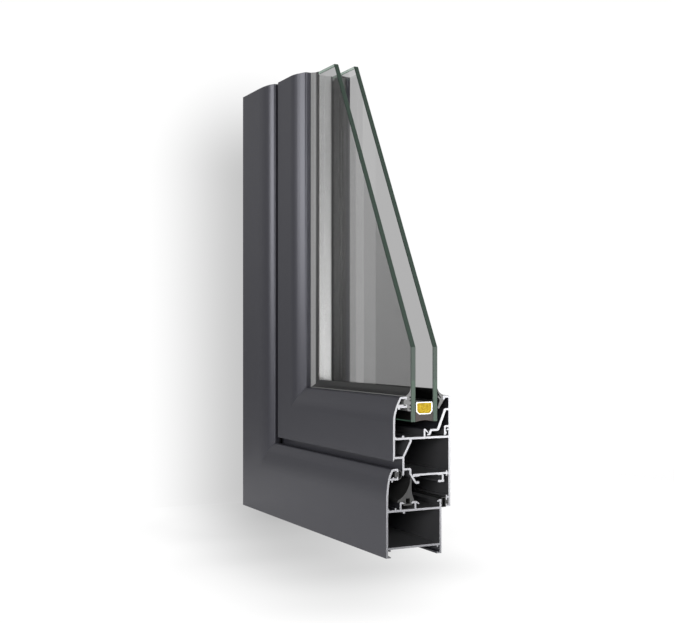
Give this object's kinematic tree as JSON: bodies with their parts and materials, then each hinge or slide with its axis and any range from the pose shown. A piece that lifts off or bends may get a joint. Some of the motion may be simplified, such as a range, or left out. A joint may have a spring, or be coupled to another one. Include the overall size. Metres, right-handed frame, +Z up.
{
  "type": "window frame profile corner sample",
  "caption": "Mitred corner sample of a hollow aluminium window: outer frame, sash, glazing bead, cut-away double glazing and rubber seals, with the section showing at both cut ends.",
  "frame": {"origin": "outer bottom corner of the outer frame, at its front face", "axes": "+X along the bottom members to their cut end, +Y from the front face to the room side, +Z up along the side members"},
  "size_m": [0.267, 0.0524, 0.372],
  "materials": {
    "coated_frame": "satin",
    "coated_sash": "satin",
    "coated_bead": "satin",
    "clear_glass": "gloss",
    "spacer_metal": "satin",
    "drying_beads": "matte",
    "sealant": "matte",
    "glazing_rubber": "matte",
    "seal_rubber": "matte",
    "cleat_metal": "matte"
  },
  "bodies": {
    "root": {"frame_sill": "coated_frame", "frame_jamb": "coated_frame", "sash_rail": "coated_sash", "sash_stile": "coated_sash", "bead_rail": "coated_bead", "bead_stile": "coated_bead", "outer_pane": "clear_glass", "inner_pane": "clear_glass", "spacer_bar": "spacer_metal", "desiccant": "drying_beads", "butyl_seals": "sealant", "edge_sealant": "sealant", "outer_glazing_gasket": "glazing_rubber", "inner_glazing_gasket": "glazing_rubber", "frame_seal": "seal_rubber", "centre_seal": "seal_rubber", "sash_seal": "seal_rubber", "frame_corner_cleat": "cleat_metal", "sash_corner_cleat": "cleat_metal"}
  },
  "joints": []
}
